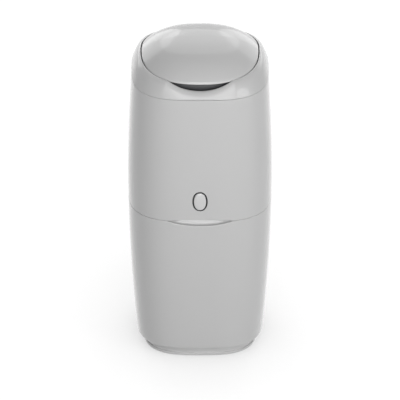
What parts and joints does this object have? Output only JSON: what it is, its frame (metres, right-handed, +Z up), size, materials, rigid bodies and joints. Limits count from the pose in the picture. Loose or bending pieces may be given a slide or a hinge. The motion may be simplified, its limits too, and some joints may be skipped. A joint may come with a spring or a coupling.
{
  "type": "nappy bin",
  "caption": "Tall rounded nappy bin with a hinged domed lid, a tilting upper housing that holds a film cassette and sprung clamp jaws, and a front release button.",
  "frame": {"origin": "on the floor, under the middle of the body", "axes": "+Z up; the release button and finger notch face -Y; the hinges are at +Y"},
  "size_m": [0.245, 0.2492, 0.5735],
  "materials": {
    "shell_grey": "fine satin moulded",
    "button_grey": "satin moulded",
    "mid_grey": "satin moulded",
    "charcoal": "fine matt moulded",
    "rubber": "soft matt",
    "film": "folded film",
    "steel": "drawn wire and rod"
  },
  "bodies": {
    "lower": {"lower_container": "shell_grey", "base_plinth": "shell_grey", "foot_pads": "rubber", "base_screws": "steel", "rear_hinge_pin": "steel", "latch_striker": "mid_grey", "striker_screws": "steel"},
    "upper": {"upper_housing": "shell_grey", "collar": "shell_grey", "top_screws": "steel", "cassette_tray": "charcoal", "cassette_case": "mid_grey", "cassette_cap": "mid_grey", "film_pack": "film", "clamp_frame": "charcoal", "clamp_cover": "charcoal", "clamp_screws": "steel", "guide_rods": "steel", "springs_left": "steel", "springs_right": "steel", "cutter_holder": "shell_grey", "cutter_blade": "steel", "button_bezel": "charcoal", "latch_guide": "mid_grey", "guide_screws": "steel", "latch_spring": "steel"},
    "lid": {"lid_shell": "shell_grey", "lid_liner": "mid_grey", "lid_seal": "rubber", "lid_screws": "steel", "lid_hinge_pin": "steel"},
    "latch": {"latch_button": "button_grey", "latch_slider": "mid_grey"},
    "jaw_left_body": {"jaw_left": "mid_grey", "jaw_lip_left": "rubber"},
    "jaw_right_body": {"jaw_right": "mid_grey", "jaw_lip_right": "rubber"}
  },
  "joints": [
    {"name": "upper_tilt", "type": "hinge", "parent": "lower", "child": "upper", "pos_m": [0, 0.12277, 0.2785], "axis": [-1, 0, 0], "range_deg": [0, 95]},
    {"name": "lid_hinge", "type": "hinge", "parent": "upper", "child": "lid", "pos_m": [0, 0.0985, 0.533], "axis": [-1, 0, 0], "range_deg": [0, 95]},
    {"name": "latch_slide", "type": "slide", "parent": "upper", "child": "latch", "axis": [0, 1, 0], "range_m": [0, 0.005], "stiffness_N_per_m": 300, "springref_m": -0.003, "deforming": ["latch_spring"]},
    {"name": "jaw_left_slide", "type": "slide", "parent": "upper", "child": "jaw_left_body", "axis": [-1, 0, 0], "range_m": [0, 0.044], "stiffness_N_per_m": 150, "springref_m": -0.01, "deforming": ["springs_left"]},
    {"name": "jaw_right_slide", "type": "slide", "parent": "upper", "child": "jaw_right_body", "axis": [1, 0, 0], "range_m": [0, 0.044], "stiffness_N_per_m": 150, "springref_m": -0.01, "deforming": ["springs_right"]}
  ]
}
